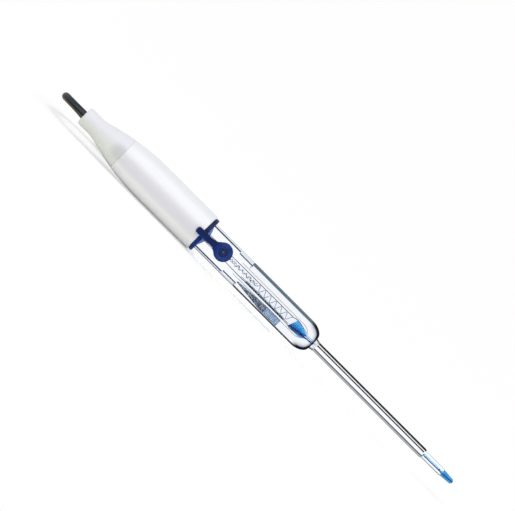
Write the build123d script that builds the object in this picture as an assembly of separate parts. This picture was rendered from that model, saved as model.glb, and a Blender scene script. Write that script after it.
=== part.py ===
from build123d import *

import math
import os

# A glass pH electrode: a capped cable end, a refillable neck with a rubber filling-hole plug, a clear
# body that shows its inner tubes, a thin stem and a small blue sensing tip. Its cable ends in a
# bayonet plug.
# The electrode lies on its cap with its long axis along +X and its tip towards +X. Stations along
# that axis start at the cap's lower end, in millimetres, and radii start at the axis. The finished
# pieces are moved so that the origin is on the surface below the middle of the electrode, +Z up.

# Cable and the flexible boot where it enters
cable_diameter = 3.1
cable_play = 0.05
boot_length = 20.5
boot_neck_radius = 3.83
boot_neck_length = 5.6
boot_end_rounding = 1.0
boot_socket_depth = 2.0
boot_root_radius = 4.2
boot_root_length = 6.0

# Cap, with the bell-shaped shoulder that it shares with the boot
cap_length = 41.1
cap_radius = 8.2
cap_floor = 8.0
cap_rim_rounding = 0.4
bell_end_station = -25.5
bell_slope = 15.0
bell_neck_bend = 12.0
seam_groove_depth = 0.2

# Potting that holds the glass in the cap: its share of the room between the glass and the cap's outside
potting_share = 0.364
potting_recess = 0.3

# Filling sleeve, the upper length of glass
tube_radius = 6.0
sleeve_wall = 0.65
sleeve_inset = 12.0
sleeve_shown = 21.5
glass_edge_chamfer = 0.25
filling_hole_radius = 1.6
filling_station = 10.5
filling_rise = 0.48

# Blue bung that closes the sleeve's chamber
bung_inset = 10.0
bung_shoulder = 1.35
bung_crown = 1.5

# Glass body, the lower length of glass
body_wall = 0.75
body_straight = 30.5
spigot_length = 6.3
spigot_wall = 0.5
neck_radius = 2.2
neck_fillet = 1.2
neck_station = 59.6

# Inner tube, which narrows to a capillary
inner_radius_top = 1.67
inner_radius = 1.85
inner_wall = 0.32
inner_cone_station = 49.3
capillary_station = 53.7
capillary_bore = 0.5
capillary_wall = 0.3

# Middle tube around it, open at the top and closed round the capillary
middle_radius = 2.8
middle_wall = 0.35
middle_top_station = 18.5
middle_shoulder_station = 50.9
middle_seal_length = 0.6
middle_slope_share = 0.25

# Reference electrode between the middle tube and the wall
bed_half_angle = 22.0
wedge_station = 21.9
wedge_tip_depth = 3.66
wedge_tip_thickness = 0.3
wedge_length = 14.7
cartridge_length = 6.9

# Wires inside the inner tube
lead_radius = 0.14
lead_coil_radius = 1.03
lead_coil_pitch = 2.8
lead_coil_station = 28.9
lead_coil_turns = 6
lead_coil_steps = 12
lead_coil_sides = 8
reference_wire_radius = 0.3
reference_wire_top = 21.5
reference_wire_length = 25.0
gel_top_station = 48.6

# Stem and sensing tip
stem_radius = 2.0
stem_length = 56.4
stem_end_rounding = 0.4
tip_socket_depth = 3.0
tip_glass_radius = 1.55
tip_glass_shown = 9.5
tip_core_radius = 0.41
tip_wire_radius = 0.1
tip_wire_rise = 0.3
junction_radius = 0.33
junction_back = 1.5
junction_proud = 0.05
membrane_length = 5.3
membrane_root_radius = 1.4
membrane_end_radius = 1.05
membrane_wall = 0.3

# Closure: a ring round the sleeve, and a strap with the plug for the filling hole
ring_thickness = 1.6
ring_inset = 0.45
ring_chamfer = 0.25
tab_overlap = 2.4
tab_thickness = 1.0
tab_width = 3.0
tab_end_height = 0.35
strap_thickness = 0.9
strap_width = 2.4
strap_gap = 0.1
strap_lift = 0.3
plug_head_radius = 3.5
plug_head_height = 2.1
plug_head_chamfer = 0.25
plug_dimple_radius = 2.07
plug_dimple_depth = 0.5
plug_nub_radius = 0.5
plug_clearance = 0.2
peg_clearance = 0.2
peg_taper = 0.35
peg_reach = 0.9

# Bayonet plug on the cable's end
nut_radius = 7.2
nut_length = 14.5
nut_wall = 2.25
nut_flute_radius = 0.5
nut_flute_count = 20
nut_rear_wall = 0.8
plug_flange_radius = 6.0
plug_flange_thickness = 1.0
plug_flange_play = 0.25
plug_sleeve_radius = 4.05
plug_sleeve_wall = 0.65
plug_sleeve_length = 11.0
plug_neck_radius = 4.0
plug_neck_length = 4.6
bayonet_slot_width = 2.3
bayonet_slot_depth = 0.7
bayonet_turn = 75.0
bayonet_travel = 3.6
bayonet_steps = 4
ferrule_radius = 3.2
ferrule_length = 6.5
relief_length = 12.5
relief_end_radius = 2.3
relief_root_radius = 3.3
relief_socket_depth = 3.0
insulator_length = 6.0
pin_radius = 0.68
pin_tip_radius = 0.23
pin_reach = 9.5
pin_point = 1.2
gasket_radius = 4.65
gasket_thickness = 1.2
connector_position = (-76.5, 17.9, 7.3)

# Cable coil and its tie
coil_mean_radius = 17.0
coil_turns_across = 3
coil_turns_high = 3
coil_centre = (-59.1, 50.5)
coil_chamfer = 1.1
tie_thickness = 0.4
tie_width = 3.0
tie_angle = -70.0

# The cable's route outside the coil, in the part's own frame
lead_route = [
    (-94.2, 0.0, 8.2),
    (-97.85, 0.0, 8.2),
    (-101.28, 1.25, 8.1),
    (-104.08, 3.6, 7.9),
    (-105.9, 6.76, 7.65),
    (-106.53, 10.38, 7.3),
    (-106.3, 16.9, 6.75),
    (-105.35, 22.3, 6.2),
    (-102.9, 26.2, 5.8),
    (-99.2, 28.9, 5.35),
    (-94.8, 30.15, 4.75),
    (-88.3, 30.5, 3.6),
    (-81.4, 30.5, 2.45),
    (-74.3, 30.4, 1.95),
    (-66.5, 30.4, 1.97),
    (-59.1, 30.36, 1.95),
]
tail_route = [
    (-78.5, 55.7, 8.15),
    (-82.75, 44.6, 8.05),
    (-85.2, 36.5, 7.85),
    (-86.56, 30.13, 7.6),
    (-86.42, 26.03, 7.45),
    (-84.75, 22.28, 7.35),
    (-81.8, 19.44, 7.3),
    (-78.0, 17.9, 7.3),
    (-73.5, 17.9, 7.3),
]

# How far a cutting shape stands past what it cuts, and how far an arc reaches along its route's runs
cut_margin = 1.0
arc_share = 0.45

# Where a bar, cone or box has its origin: the middle of its base, or of the edge that it starts at
on_base = (Align.CENTER, Align.CENTER, Align.MIN)
below_and_along = (Align.MIN, Align.MAX, Align.CENTER)
above_and_along = (Align.MIN, Align.CENTER, Align.MIN)

# Places that follow from the sizes above
seam_station = -cap_length
boot_end_station = seam_station - boot_length
sleeve_bore = tube_radius - sleeve_wall
spigot_bore = sleeve_bore - spigot_wall
body_bore = tube_radius - body_wall
dome_station = sleeve_shown + body_straight
inner_bore_top = inner_radius_top - inner_wall
inner_bore = inner_radius - inner_wall
capillary_radius = capillary_bore + capillary_wall
bung_face_station = bung_shoulder + bung_crown
stem_end_station = neck_station + stem_length
core_top_station = stem_end_station - tip_socket_depth
membrane_station = stem_end_station + tip_glass_shown
tip_station = membrane_station + membrane_length
cap_bore = tube_radius + potting_share * (cap_radius - tube_radius)
ring_radius = cap_radius - ring_inset
middle_station = (boot_end_station + tip_station) / 2


def turned(outline):
    """Revolve a closed outline of (station, radius) points about the long axis."""
    return revolve(make_face(Polyline(*outline, close=True)), Axis.X)


def turned_lines(*lines):
    """Revolve the face inside a closed chain of edges about the long axis."""
    return revolve(make_face(Curve() + list(lines)), Axis.X)


def rod(start, end, radius, z=0.0):
    """A round bar along the long axis between two stations."""
    return Pos(start, 0, z) * Rot(0, 90, 0) * Cylinder(radius, end - start, align=on_base)


def pipe(start, end, radius, bore):
    """A round tube along the long axis between two stations."""
    return turned([(start, bore), (start, radius), (end, radius), (end, bore)])


def across(radius, near, far, station, z):
    """A round bar along Y, from y = near to y = far."""
    return Pos(station, far, z) * Rot(90, 0, 0) * Cylinder(radius, far - near, align=on_base)


def bell_shoulder_bend():
    """Radius of the long arc that brings the bell's slope to the cap's side, tangent at both ends."""
    sine = math.sin(math.radians(bell_slope))
    cosine = math.cos(math.radians(bell_slope))
    run = bell_end_station - boot_end_station - boot_neck_length - bell_neck_bend * sine
    rise = cap_radius - boot_neck_radius - bell_neck_bend * (1 - cosine)
    return (run * sine - rise * cosine) / (1 - cosine)


def grip_blank():
    """Boot and cap together: one smooth bell from the cable's neck to the cap's rim."""
    rounding = boot_end_rounding
    neck_top = boot_end_station + boot_neck_length
    neck_bend = JernArc((neck_top, boot_neck_radius), (1, 0), bell_neck_bend, bell_slope)
    shoulder_bend = JernArc((bell_end_station, cap_radius), (-1, 0), bell_shoulder_bend(), bell_slope)
    corner_start = (boot_end_station, boot_neck_radius - rounding)
    corner = JernArc(corner_start, (0, 1), rounding, -90)
    rim_start = (-cap_rim_rounding, cap_radius)
    rim = JernArc(rim_start, (1, 0), cap_rim_rounding, -90)
    return turned_lines(
        Line((boot_end_station, 0), corner_start),
        corner,
        Line(corner @ 1, (neck_top, boot_neck_radius)),
        neck_bend,
        Line(neck_bend @ 1, shoulder_bend @ 1),
        shoulder_bend,
        Line((bell_end_station, cap_radius), rim_start),
        rim,
        Line(rim @ 1, (0, 0)),
        Line((0, 0), (boot_end_station, 0)),
    )


def seam_groove():
    """The fine V groove where the boot meets the cap."""
    reach = cap_radius
    depth = seam_groove_depth
    seam_blank = split(grip_blank(), Plane.YZ.offset(seam_station), keep=Keep.TOP)
    rim = seam_blank.faces().sort_by(Axis.X)[0].bounding_box().max.Z
    return turned(
        [
            (seam_station, rim - depth),
            (seam_station - depth, rim),
            (seam_station - depth, reach),
            (seam_station + depth, reach),
            (seam_station + depth, rim + depth),
        ]
    )


def cable_boot():
    """Flexible boot with a socket for the cable and a root that plugs into the cap."""
    shell = split(grip_blank(), Plane.YZ.offset(seam_station), keep=Keep.BOTTOM)
    root = rod(seam_station, seam_station + boot_root_length, boot_root_radius)
    socket = rod(boot_end_station, boot_end_station + boot_socket_depth, cable_diameter / 2 + cable_play)
    return shell + root - socket - seam_groove()


def cap_shell():
    """Hard cap, open towards the glass, with a hole for the boot's root."""
    shell = split(grip_blank(), Plane.YZ.offset(seam_station), keep=Keep.TOP)
    chamber = rod(seam_station + cap_floor, 0, cap_bore)
    root_hole = rod(seam_station, seam_station + cap_floor, boot_root_radius)
    return shell - chamber - root_hole - seam_groove()


def potting_plug():
    """Resin that fills the cap and holds the sleeve and the inner tube."""
    behind = -sleeve_inset
    return turned(
        [
            (seam_station + cap_floor, 0),
            (seam_station + cap_floor, cap_bore),
            (-potting_recess, cap_bore),
            (-potting_recess, tube_radius),
            (behind, tube_radius),
            (behind, 0),
        ]
    )


def filling_sleeve():
    """Clear sleeve with a broken lower edge and the filling hole in its near side."""
    sleeve = turned(
        [
            (-sleeve_inset, sleeve_bore),
            (-sleeve_inset, tube_radius),
            (sleeve_shown - glass_edge_chamfer, tube_radius),
            (sleeve_shown, tube_radius - glass_edge_chamfer),
            (sleeve_shown, sleeve_bore),
        ]
    )
    return sleeve - across(filling_hole_radius, -tube_radius - cut_margin, 0, filling_station, filling_rise)


def inner_bung():
    """Blue bung in the sleeve, with a domed face in two slopes and a hole for the inner tube."""
    slope_radius = (sleeve_bore + inner_radius_top) / 2
    slope_dip = bung_crown * (slope_radius / sleeve_bore) ** 2
    return turned(
        [
            (-bung_inset, inner_radius_top),
            (-bung_inset, sleeve_bore),
            (bung_shoulder, sleeve_bore),
            (bung_face_station - slope_dip, slope_radius),
            (bung_face_station, inner_radius_top),
        ]
    )


def dome_lines(radius, end_radius, end_station, fillet_radius):
    """The round bottom of a glass vessel, drawn down to a neck: arc, fillet and neck."""
    reach = radius + fillet_radius
    rise = end_radius + fillet_radius
    sweep_angle = 90 - math.degrees(math.asin(rise / reach))
    bowl = JernArc((dome_station, radius), (1, 0), radius, -sweep_angle)
    blend = JernArc(bowl @ 1, bowl % 1, fillet_radius, sweep_angle)
    return [bowl, blend, Line(blend @ 1, (end_station, end_radius))]


def glass_body():
    """Clear body with a spigot for the sleeve at the top and a round bottom drawn to the neck."""
    spigot_top = sleeve_shown - spigot_length
    step_start = (sleeve_shown, tube_radius - glass_edge_chamfer)
    step_end = (sleeve_shown + glass_edge_chamfer, tube_radius)
    inner_corner_station = sleeve_shown + body_wall
    outside = dome_lines(tube_radius, neck_radius, neck_station, neck_fillet)
    inside = dome_lines(body_bore, capillary_radius, neck_station, neck_fillet)
    return turned_lines(
        Line((spigot_top, spigot_bore), (spigot_top, sleeve_bore)),
        Line((spigot_top, sleeve_bore), (sleeve_shown, sleeve_bore)),
        Line((sleeve_shown, sleeve_bore), step_start),
        Line(step_start, step_end),
        Line(step_end, (dome_station, tube_radius)),
        *outside,
        Line((neck_station, neck_radius), (neck_station, capillary_radius)),
        *inside,
        Line((dome_station, body_bore), (inner_corner_station, body_bore)),
        Line((inner_corner_station, body_bore), (sleeve_shown, spigot_bore)),
        Line((sleeve_shown, spigot_bore), (spigot_top, spigot_bore)),
    )


def inner_tube():
    """Tube from the potting to the neck, a little wider in the body, drawn down to a capillary."""
    widening = inner_radius - inner_radius_top
    return turned(
        [
            (-sleeve_inset, inner_bore_top),
            (-sleeve_inset, inner_radius_top),
            (sleeve_shown - widening, inner_radius_top),
            (sleeve_shown, inner_radius),
            (inner_cone_station, inner_radius),
            (capillary_station, capillary_radius),
            (neck_station, capillary_radius),
            (neck_station, capillary_bore),
            (capillary_station, capillary_bore),
            (inner_cone_station, inner_bore),
            (sleeve_shown, inner_bore),
            (sleeve_shown - widening, inner_bore_top),
        ]
    )


def middle_tube():
    """Thin tube round the inner tube, open at the top, drawn in and sealed on the capillary."""
    seal_end = capillary_station + middle_seal_length
    middle_bore = middle_radius - middle_wall
    slope_station = (middle_shoulder_station + capillary_station) / 2
    slope_drop = middle_slope_share * (middle_radius - capillary_radius)
    return turned(
        [
            (middle_top_station, middle_bore),
            (middle_top_station, middle_radius),
            (middle_shoulder_station, middle_radius),
            (slope_station + middle_wall, middle_radius - slope_drop),
            (seal_end, capillary_radius + middle_wall),
            (seal_end, capillary_radius),
            (capillary_station, capillary_radius),
            (slope_station, middle_bore - slope_drop),
            (middle_shoulder_station, middle_bore),
        ]
    )


def bed_sector(start, end):
    """Part of the ring between the middle tube and the wall, along the lowest line."""
    ring = pipe(start, end, body_bore, middle_radius)
    depth = body_bore + cut_margin
    half_width = depth * math.tan(math.radians(bed_half_angle))
    fan = make_face(Polyline((0, 0), (half_width, -depth), (-half_width, -depth), close=True))
    return ring & (Pos(start, 0, 0) * extrude(Plane.YZ * fan, end - start))


def reference_wedge():
    """Long wedge of the reference bed, sharp at the top."""
    end = wedge_station + wedge_length
    side = Polyline(
        (wedge_station, -wedge_tip_depth + wedge_tip_thickness / 2),
        (end, -middle_radius * math.cos(math.radians(bed_half_angle))),
        (end, -body_bore),
        (wedge_station, -wedge_tip_depth - wedge_tip_thickness / 2),
        close=True,
    )
    cutter = extrude(Plane.XZ * make_face(side), body_bore, both=True)
    return bed_sector(wedge_station, end) & cutter


def reference_cartridge():
    """Block at the lower end of the reference bed."""
    start = wedge_station + wedge_length
    return bed_sector(start, start + cartridge_length)


def lead_coil():
    """Spring coil of the inner lead in short straight steps, against the top of the inner tube's bore."""
    height = inner_bore - lead_coil_radius - lead_radius
    length = lead_coil_pitch * lead_coil_turns
    count = lead_coil_turns * lead_coil_steps
    angles = [2 * math.pi * number / lead_coil_steps for number in range(count + 1)]
    path = Polyline(
        *[
            (
                length * number / count,
                lead_coil_radius * math.sin(angle),
                lead_coil_radius * math.cos(angle),
            )
            for number, angle in enumerate(angles)
        ]
    )
    section = Plane(origin=path @ 0, z_dir=path % 0) * RegularPolygon(lead_radius, lead_coil_sides)
    coil = sweep(section, path=path, transition=Transition.RIGHT)
    return Pos(lead_coil_station, 0, height) * coil


def inner_lead():
    """Straight lead along the top of the inner tube's bore, from the potting to the coil."""
    height = inner_bore_top - lead_radius
    return rod(-sleeve_inset, lead_coil_station - lead_radius, lead_radius, z=height)


def reference_wire():
    """Silver wire along the bottom of the inner tube's bore."""
    height = -(inner_bore - reference_wire_radius)
    end = reference_wire_top + reference_wire_length
    return rod(reference_wire_top, end, reference_wire_radius, z=height)


def gel_column():
    """Blue gel in the inner tube's cone and capillary, down to the neck."""
    return turned(
        [
            (gel_top_station, 0),
            (gel_top_station, inner_bore),
            (inner_cone_station, inner_bore),
            (capillary_station, capillary_bore),
            (neck_station, capillary_bore),
            (neck_station, 0),
        ]
    )


def stem_tube():
    """Thick-walled stem with a fine bore and a socket for the tip's glass."""
    rounding = stem_end_rounding
    shoulder = JernArc((stem_end_station - rounding, stem_radius), (1, 0), rounding, -90)
    return turned_lines(
        Line((neck_station, capillary_bore), (neck_station, stem_radius)),
        Line((neck_station, stem_radius), (stem_end_station - rounding, stem_radius)),
        shoulder,
        Line(shoulder @ 1, (stem_end_station, tip_glass_radius)),
        Line((stem_end_station, tip_glass_radius), (core_top_station, tip_glass_radius)),
        Line((core_top_station, tip_glass_radius), (core_top_station, capillary_bore)),
        Line((core_top_station, capillary_bore), (neck_station, capillary_bore)),
    )


def junction_station():
    """Where the junction bead sits in the tip's glass."""
    return membrane_station - junction_back


def junction_bead():
    """Small dark bead in the near wall of the tip's glass."""
    outside = -(tip_glass_radius + junction_proud)
    bead = across(junction_radius, outside, 0, junction_station(), 0)
    return bead - rod(core_top_station, membrane_station, tip_core_radius)


def tip_glass():
    """Glass of the tip, from the stem's socket to the membrane."""
    wall = pipe(core_top_station, membrane_station, tip_glass_radius, tip_core_radius)
    hole = across(junction_radius, -tip_glass_radius - cut_margin, 0, junction_station(), 0)
    return wall - hole


def membrane_profile(root_radius, end_radius, end_station):
    """Outline of a bulb that tapers from the tip's glass to a round end."""
    taper_end = end_station - end_radius
    flank = Line((membrane_station, root_radius), (taper_end, end_radius))
    nose = ThreePointArc(
        (taper_end, end_radius),
        (taper_end + end_radius * math.sin(math.pi / 4), end_radius * math.cos(math.pi / 4)),
        (end_station, 0),
    )
    return [flank, nose]


def membrane_solid(root_radius, end_radius, end_station):
    """Solid bulb of the membrane's outline."""
    return turned_lines(
        Line((membrane_station, 0), (membrane_station, root_radius)),
        *membrane_profile(root_radius, end_radius, end_station),
        Line((end_station, 0), (membrane_station, 0)),
    )


def membrane_filling():
    """Solid that fills the membrane."""
    inner_root = membrane_root_radius - membrane_wall
    inner_end = membrane_end_radius - membrane_wall
    return membrane_solid(inner_root, inner_end, tip_station - membrane_wall)


def sensing_tip():
    """Thin blue glass membrane."""
    return membrane_solid(membrane_root_radius, membrane_end_radius, tip_station) - membrane_filling()


def tip_gel():
    """Blue gel in the tip's core and behind the membrane."""
    return rod(core_top_station, membrane_station, tip_core_radius) + membrane_filling()


def tip_wire():
    """Fine wire in the stem's bore, between the two lengths of gel."""
    return rod(neck_station, core_top_station, tip_wire_radius, z=tip_wire_rise)


def strap_levels():
    """Inner and outer y of the strap, as distances from the axis."""
    inner = ring_radius - strap_lift + strap_gap
    return inner, inner + strap_thickness


def hinge_place():
    """Station and distance from the axis of the strap's flex line."""
    inner, outer = strap_levels()
    station = ring_thickness + strap_gap + strap_gap + strap_thickness / 2
    return station, (inner + outer) / 2


def closure_ring():
    """Rubber ring against the cap, with a rounded tab that lies over the cap's rim."""
    rim = ring_radius - ring_chamfer
    ring = turned(
        [
            (0, tube_radius),
            (0, rim),
            (ring_chamfer, ring_radius),
            (ring_thickness - ring_chamfer, ring_radius),
            (ring_thickness, rim),
            (ring_thickness, tube_radius),
        ]
    )
    hinge_station, hinge_distance = hinge_place()
    tab_end = hinge_station - strap_thickness / 2 - strap_gap
    tab_outside = cap_radius + tab_thickness
    tab_inside = rim
    tab_edge = hinge_distance + tab_end_height
    side = Polyline(
        (-tab_overlap, -tab_inside),
        (-tab_overlap, -tab_outside),
        (0, -tab_outside),
        (tab_end, -tab_edge),
        (tab_end, -tab_inside),
        close=True,
    )
    slab = extrude(make_face(side), tab_width / 2, both=True)
    round_end = across(tab_width / 2, -tab_outside, 0, tab_width / 2 - tab_overlap, 0)
    straight_length = tab_end + tab_overlap - tab_width / 2
    straight = Box(straight_length, tab_outside, tab_width, align=below_and_along)
    straight = Pos(tab_width / 2 - tab_overlap, 0, 0) * straight
    tab = Pos(0, 0, filling_rise) * (slab & (round_end + straight))
    return ring + (tab - rod(-tab_overlap, 0, cap_radius))


def closure_strap():
    """Rubber strap with the dimpled head and the peg that closes the filling hole."""
    inner, outer = strap_levels()
    hinge_station, hinge_distance = hinge_place()
    half_root = tab_width / 2
    half_end = strap_width / 2
    plan = Polyline(
        (hinge_station, half_root),
        (filling_station, half_end),
        (filling_station, -half_end),
        (hinge_station, -half_root),
        close=True,
    )
    strap = Pos(0, -inner, 0) * extrude(Plane.XZ * make_face(plan), strap_thickness)
    root = Pos(hinge_station, -hinge_distance, 0) * Cylinder(strap_thickness / 2, tab_width)
    head_outside = tube_radius + plug_clearance + plug_head_height
    head = across(plug_head_radius, -head_outside, 0, filling_station, 0)
    head = chamfer(head.edges().sort_by(Axis.Y)[0], plug_head_chamfer)
    saddle_end = filling_station + plug_head_radius + cut_margin
    saddle = rod(0, saddle_end, tube_radius + plug_clearance, z=-filling_rise)
    dimple_floor = head_outside - plug_dimple_depth
    dimple = across(plug_dimple_radius, -head_outside, -dimple_floor, filling_station, 0)
    nub = across(plug_nub_radius, -head_outside, -dimple_floor, filling_station, 0)
    peg_root_radius = filling_hole_radius - peg_clearance
    peg_top = tube_radius + plug_clearance + peg_clearance
    peg_length = peg_top - (tube_radius - peg_reach)
    peg = Cone(peg_root_radius, peg_root_radius - peg_taper, peg_length, align=on_base)
    peg = Pos(filling_station, -peg_top, 0) * Rot(-90, 0, 0) * peg
    head = (strap + head - saddle) - dimple + nub
    return Pos(0, 0, filling_rise) * (head + root + peg)


def bnc_boot():
    """Strain relief of the plug, with a socket for the cable."""
    cone = turned([(0, 0), (0, relief_end_radius), (relief_length, relief_root_radius), (relief_length, 0)])
    return cone - rod(0, relief_socket_depth, cable_diameter / 2 + cable_play)


def bnc_ferrule():
    """Crimped ferrule between the strain relief and the plug's body."""
    return rod(relief_length, relief_length + ferrule_length, ferrule_radius)


def plug_flange_station():
    """Rear face of the flange that carries the nut, from the strain relief's end."""
    return relief_length + ferrule_length + plug_neck_length


def bnc_body():
    """Plug body: rear neck, flange for the nut and the slim front sleeve."""
    rear = relief_length + ferrule_length
    flange = plug_flange_station()
    front = flange + plug_flange_thickness
    bore = plug_sleeve_radius - plug_sleeve_wall
    return turned(
        [
            (rear, 0),
            (rear, plug_neck_radius),
            (flange, plug_neck_radius),
            (flange, plug_flange_radius),
            (front, plug_flange_radius),
            (front, plug_sleeve_radius),
            (front + plug_sleeve_length, plug_sleeve_radius),
            (front + plug_sleeve_length, bore),
            (front, bore),
            (front, 0),
        ]
    )


def bnc_coupling_nut():
    """Fluted bayonet nut round the flange, with two ramped slots inside its front bore."""
    flange = plug_flange_station()
    rear = flange - plug_flange_play - nut_rear_wall
    cavity_start = flange - plug_flange_play
    cavity_end = flange + plug_flange_thickness + plug_flange_play
    front = rear + nut_length
    bore = nut_radius - nut_wall
    nut = turned(
        [
            (rear, plug_neck_radius + plug_flange_play),
            (rear, nut_radius),
            (front, nut_radius),
            (front, bore),
            (cavity_end, bore),
            (cavity_end, plug_flange_radius + plug_flange_play),
            (cavity_start, plug_flange_radius + plug_flange_play),
            (cavity_start, plug_neck_radius + plug_flange_play),
        ]
    )
    flute_end = front - nut_rear_wall
    flute = rod(rear - cut_margin, flute_end, nut_flute_radius, z=nut_radius + nut_flute_radius / 2)
    for number in range(nut_flute_count):
        nut -= Rot(360 / nut_flute_count * number, 0, 0) * flute
    slot_radius = bore + bayonet_slot_depth
    slot_start = front - bayonet_slot_width - bayonet_travel
    for side in (0, 180):
        mouth = Box(front - slot_start, bayonet_slot_width, slot_radius, align=above_and_along)
        nut -= Rot(side, 0, 0) * Pos(slot_start, 0, 0) * mouth
        for step in range(bayonet_steps + 1):
            share = step / bayonet_steps
            place = slot_start + bayonet_slot_width / 2 - share * bayonet_travel / 2
            finger = Cylinder(bayonet_slot_width / 2, slot_radius, align=on_base)
            nut -= Rot(side + share * bayonet_turn, 0, 0) * Pos(place, 0, 0) * finger
    return nut


def bnc_insulator():
    """White insulator inside the plug's sleeve, round the pin."""
    front = plug_flange_station() + plug_flange_thickness
    return pipe(front, front + insulator_length, plug_sleeve_radius - plug_sleeve_wall, pin_radius)


def bnc_contact_pin():
    """Pointed centre pin."""
    front = plug_flange_station() + plug_flange_thickness
    end = front + pin_reach
    return turned(
        [
            (front, 0),
            (front, pin_radius),
            (end - pin_point, pin_radius),
            (end, pin_tip_radius),
            (end, 0),
        ]
    )


def bnc_gasket():
    """Soft ring round the plug's sleeve, against the flange."""
    front = plug_flange_station() + plug_flange_thickness
    return pipe(front, front + gasket_thickness, gasket_radius, plug_sleeve_radius)


def corner_radii(name, route):
    """Radius of the arc at each inner point of a route, as large as its two runs allow."""
    points = [Vector(*place) for place in route]
    runs = [b - a for a, b in zip(points, points[1:])]
    radii = []
    for before, after in zip(runs, runs[1:]):
        turn = math.radians(before.get_angle(after))
        radii.append(arc_share * min(before.length, after.length) / math.tan(turn / 2))
    print(name, "smallest radius", round(min(radii), 2), "mm, all:", [round(r, 1) for r in radii])
    return radii


def cable_tube(name, route):
    """Cable along a route of straight runs joined by tangent arcs."""
    path = FilletPolyline(*route, radius=corner_radii(name, route))
    section = Plane(origin=path @ 0, z_dir=path % 0) * Circle(cable_diameter / 2)
    tube = sweep(section, path=path)
    expected = math.pi * cable_diameter**2 / 4 * path.length
    print(name, "length", round(path.length, 1), "mm, volume over section times length",
          round(tube.volume / expected, 4))
    return tube


def coil_section(margin):
    """The coil's section with broken corners, on one side of its axis, grown by a margin."""
    width = coil_turns_across * cable_diameter
    height = coil_turns_high * cable_diameter
    outline = Rectangle(width + 2 * margin, height + 2 * margin)
    outline = chamfer(outline.vertices(), coil_chamfer + margin / 2)
    return Pos(coil_mean_radius, tie_thickness + height / 2) * outline


def cable_coil(lead, tail):
    """Outer shape of the wound cable, less the ends that run into it."""
    ring = revolve(Plane.XZ * coil_section(0), Axis.Z)
    return Pos(*coil_centre, 0) * ring - lead - tail


def coil_tie():
    """Band round the coil's section."""
    arc = math.degrees(tie_width / coil_mean_radius)
    band = revolve(Plane.XZ * (coil_section(tie_thickness) - coil_section(0)), Axis.Z, arc)
    return Pos(*coil_centre, 0) * Rot(0, 0, tie_angle - arc / 2) * band


def main():
    """Make every piece, move it into the part's frame and write it."""
    in_frame = Pos(-middle_station, 0, cap_radius)
    on_plug = Pos(*connector_position)
    lead = cable_tube("lead", lead_route)
    tail = cable_tube("tail", tail_route)
    electrode = [
        cable_boot, cap_shell, potting_plug, filling_sleeve, inner_bung, glass_body, inner_tube,
        middle_tube, reference_wedge, reference_cartridge, lead_coil, inner_lead, reference_wire,
        gel_column, stem_tube, junction_bead, tip_glass, sensing_tip, tip_gel, tip_wire,
        closure_ring, closure_strap,
    ]
    connector = [
        bnc_boot, bnc_ferrule, bnc_body, bnc_coupling_nut, bnc_insulator, bnc_contact_pin, bnc_gasket,
    ]
    pieces = {make.__name__: in_frame * make() for make in electrode}
    pieces.update({make.__name__: on_plug * make() for make in connector})
    pieces["cable_lead"] = lead
    pieces["cable_tail"] = tail
    pieces["cable_coil"] = cable_coil(lead, tail)
    pieces["coil_tie"] = coil_tie()
    os.makedirs("parts", exist_ok=True)
    for name, piece in pieces.items():
        export_step(piece, f"parts/{name}.step")
    hinge_station, hinge_distance = hinge_place()
    print("strap hinge at", round(hinge_station - middle_station, 3), round(-hinge_distance, 3))
    print("middle station", round(middle_station, 3))


if __name__ == "__main__":
    main()
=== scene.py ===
"""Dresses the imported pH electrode: finishes, cable, rubber closure, inner details and studio.

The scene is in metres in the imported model's frame: +X runs along the electrode to the sensing tip,
-Y is the side with the filling-hole plug, and +Z is up. The sizes below are in millimetres: stations
are distances along +X from the cap's lower end, and places across are measured from the axis.
"""

import logging
import math
from dataclasses import dataclass
from enum import Enum
from typing import Callable, Sequence

import bmesh
import bpy
from mathutils import Matrix, Vector


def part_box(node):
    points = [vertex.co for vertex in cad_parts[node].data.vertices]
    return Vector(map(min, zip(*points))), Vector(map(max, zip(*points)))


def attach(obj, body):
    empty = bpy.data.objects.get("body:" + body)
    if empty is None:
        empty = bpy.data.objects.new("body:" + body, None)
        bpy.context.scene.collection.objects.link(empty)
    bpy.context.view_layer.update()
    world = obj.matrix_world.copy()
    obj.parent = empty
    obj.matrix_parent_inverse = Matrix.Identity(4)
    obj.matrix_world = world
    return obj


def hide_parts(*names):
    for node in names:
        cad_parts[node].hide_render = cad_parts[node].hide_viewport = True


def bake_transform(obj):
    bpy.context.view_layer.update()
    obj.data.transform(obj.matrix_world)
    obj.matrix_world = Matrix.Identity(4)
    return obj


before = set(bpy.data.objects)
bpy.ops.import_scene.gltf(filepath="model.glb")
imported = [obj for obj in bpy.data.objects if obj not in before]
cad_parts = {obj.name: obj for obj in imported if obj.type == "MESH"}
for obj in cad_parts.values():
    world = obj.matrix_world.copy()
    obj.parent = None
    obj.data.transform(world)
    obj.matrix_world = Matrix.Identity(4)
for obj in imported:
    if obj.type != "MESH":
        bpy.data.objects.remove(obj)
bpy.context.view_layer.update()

log = logging.getLogger("electrode")

Point = tuple[float, float, float]
Colour = tuple[float, float, float]
Stops = tuple[tuple[float, Colour], ...]
Outline = Sequence[tuple[float, float]]
Section = tuple[float, float, float, float, float]
Socket = bpy.types.NodeSocket

MM = 0.001
CAP_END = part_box("cap_shell")[1].x
AXIS_HEIGHT = (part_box("cap_shell")[0].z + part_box("cap_shell")[1].z) / 2

BLACK = (0.0, 0.0, 0.0)
WHITE = (1.0, 1.0, 1.0)
GLASS_IOR = 1.02
RELIEF_STRENGTH = 0.3
MIX_SHARE, MIX_FIRST, MIX_SECOND = 0, 6, 7
MIX_RESULT = 2


class Body(Enum):
    """Rigid bodies that pieces ride on."""

    ELECTRODE = "electrode"
    STRAP = "strap"


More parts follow.
